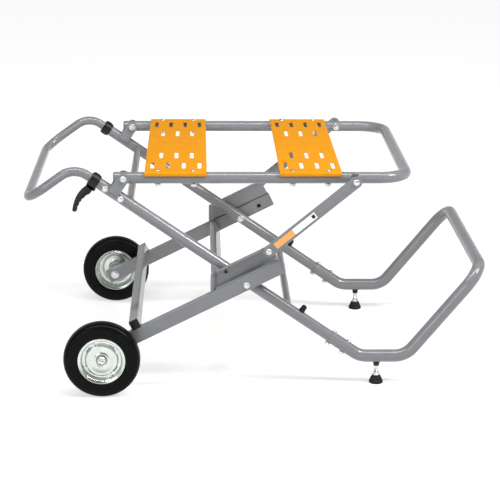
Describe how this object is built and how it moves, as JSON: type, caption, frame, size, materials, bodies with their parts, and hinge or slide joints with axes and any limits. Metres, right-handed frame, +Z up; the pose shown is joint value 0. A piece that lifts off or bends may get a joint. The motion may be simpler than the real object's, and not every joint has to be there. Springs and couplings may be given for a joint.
{
  "type": "folding wheeled mitre saw stand",
  "caption": "Folding tubular steel saw stand with a level table of two slotted plates, crossed legs, transport wheels, pull handle and levelling feet.",
  "frame": {"origin": "on the floor, under the middle of the bounding box", "axes": "+X from the pull handle to the base bar, +Y across the stand to its left side, +Z up"},
  "size_m": [1.2185, 0.88, 0.5898],
  "materials": {
    "stand_paint": "semi-gloss grey powder coat",
    "zinc_hardware": "bright zinc plate",
    "plate_paint": "satin orange-yellow powder coat",
    "black_plastic": "moulded, matt black",
    "black_rubber": "matt black moulded rubber",
    "tyre_rubber": "solid rubber, satin black"
  },
  "bodies": {
    "main_frame": {"handle_tube": "stand_paint", "base_tube": "stand_paint", "upper_cross_tube": "stand_paint", "lower_cross_tube": "stand_paint", "lever_pin": "black_plastic", "main_tube_right": "stand_paint", "collar_right": "black_plastic", "hinge_bracket_right": "stand_paint", "hinge_bolt_right": "zinc_hardware", "bumper_right": "black_rubber", "foot_insert_right": "black_plastic", "foot_nut_right": "zinc_hardware", "handle_bolt_right_1": "zinc_hardware", "handle_bolt_right_2": "zinc_hardware", "base_bolt_right_1": "zinc_hardware", "base_bolt_right_2": "zinc_hardware", "main_tube_left": "stand_paint", "collar_left": "black_plastic", "hinge_bracket_left": "stand_paint", "hinge_bolt_left": "zinc_hardware", "bumper_left": "black_rubber", "foot_insert_left": "black_plastic", "foot_nut_left": "zinc_hardware", "handle_bolt_left_1": "zinc_hardware", "handle_bolt_left_2": "zinc_hardware", "base_bolt_left_1": "zinc_hardware", "base_bolt_left_2": "zinc_hardware"},
    "wheel_frame": {"lower_cross_bar": "stand_paint", "upper_cross_member": "stand_paint", "wheel_leg_right": "stand_paint", "leg_pivot_bolt_right": "zinc_hardware", "axle_bolt_right": "zinc_hardware", "link_bracket_right": "stand_paint", "bar_cap_right": "black_plastic", "wheel_leg_left": "stand_paint", "leg_pivot_bolt_left": "zinc_hardware", "axle_bolt_left": "zinc_hardware", "link_bracket_left": "stand_paint", "bar_cap_left": "black_plastic"},
    "table": {"table_frame": "stand_paint", "mounting_plate_handle_end": "plate_paint", "mounting_plate_base_end": "plate_paint", "link_spacer_right": "zinc_hardware", "link_spacer_left": "zinc_hardware"},
    "link_right_body": {"link_right": "stand_paint", "link_top_bolt_right": "zinc_hardware", "link_bottom_bolt_right": "zinc_hardware"},
    "link_left_body": {"link_left": "stand_paint", "link_top_bolt_left": "zinc_hardware", "link_bottom_bolt_left": "zinc_hardware"},
    "wheel_right": {"tyre_right": "tyre_rubber", "wheel_rim_right": "zinc_hardware"},
    "wheel_left": {"tyre_left": "tyre_rubber", "wheel_rim_left": "zinc_hardware"},
    "release_lever_body": {"release_lever": "black_plastic"},
    "foot_right": {"foot_pad_right": "black_rubber", "foot_stud_right": "zinc_hardware"},
    "foot_left": {"foot_pad_left": "black_rubber", "foot_stud_left": "zinc_hardware"}
  },
  "joints": [
    {"name": "wheel_frame_fold", "type": "hinge", "parent": "main_frame", "child": "wheel_frame", "pos_m": [-0.0274, 0, 0.2837], "axis": [0, -1, 0], "range_deg": [0, 80]},
    {"name": "table_fold", "type": "hinge", "parent": "main_frame", "child": "table", "pos_m": [-0.3464, 0, 0.562], "axis": [0, 1, 0], "range_deg": [0, 34.6]},
    {"name": "link_right_fold", "type": "hinge", "parent": "table", "child": "link_right_body", "pos_m": [0.2516, -0.376, 0.562], "axis": [0, 1, 0], "range_deg": [0, 32.44]},
    {"name": "link_left_fold", "type": "hinge", "parent": "table", "child": "link_left_body", "pos_m": [0.2516, 0.376, 0.562], "axis": [0, 1, 0], "range_deg": [0, 32.44]},
    {"name": "wheel_right_spin", "type": "hinge", "parent": "wheel_frame", "child": "wheel_right", "pos_m": [-0.4042, -0.415, 0.1], "axis": [0, 1, 0], "continuous": true},
    {"name": "wheel_left_spin", "type": "hinge", "parent": "wheel_frame", "child": "wheel_left", "pos_m": [-0.4042, 0.415, 0.1], "axis": [0, 1, 0], "continuous": true},
    {"name": "release_lever_pull", "type": "hinge", "parent": "main_frame", "child": "release_lever_body", "pos_m": [-0.43818, -0.325, 0.53002], "axis": [0, 1, 0], "range_deg": [0, 18], "stiffness_Nm_per_rad": 0.8, "springref_deg": -14.32},
    {"name": "foot_right_level", "type": "slide", "parent": "main_frame", "child": "foot_right", "axis": [0, 0, 1], "range_m": [-0.02, 0.01]},
    {"name": "foot_left_level", "type": "slide", "parent": "main_frame", "child": "foot_left", "axis": [0, 0, 1], "range_m": [-0.02, 0.01]}
  ],
  "couplings": [
    {"joint": "table_fold", "follows": "wheel_frame_fold", "ratio": 0.4325},
    {"joint": "link_right_fold", "follows": "wheel_frame_fold", "ratio": 0.4054},
    {"joint": "link_left_fold", "follows": "wheel_frame_fold", "ratio": 0.4054}
  ]
}
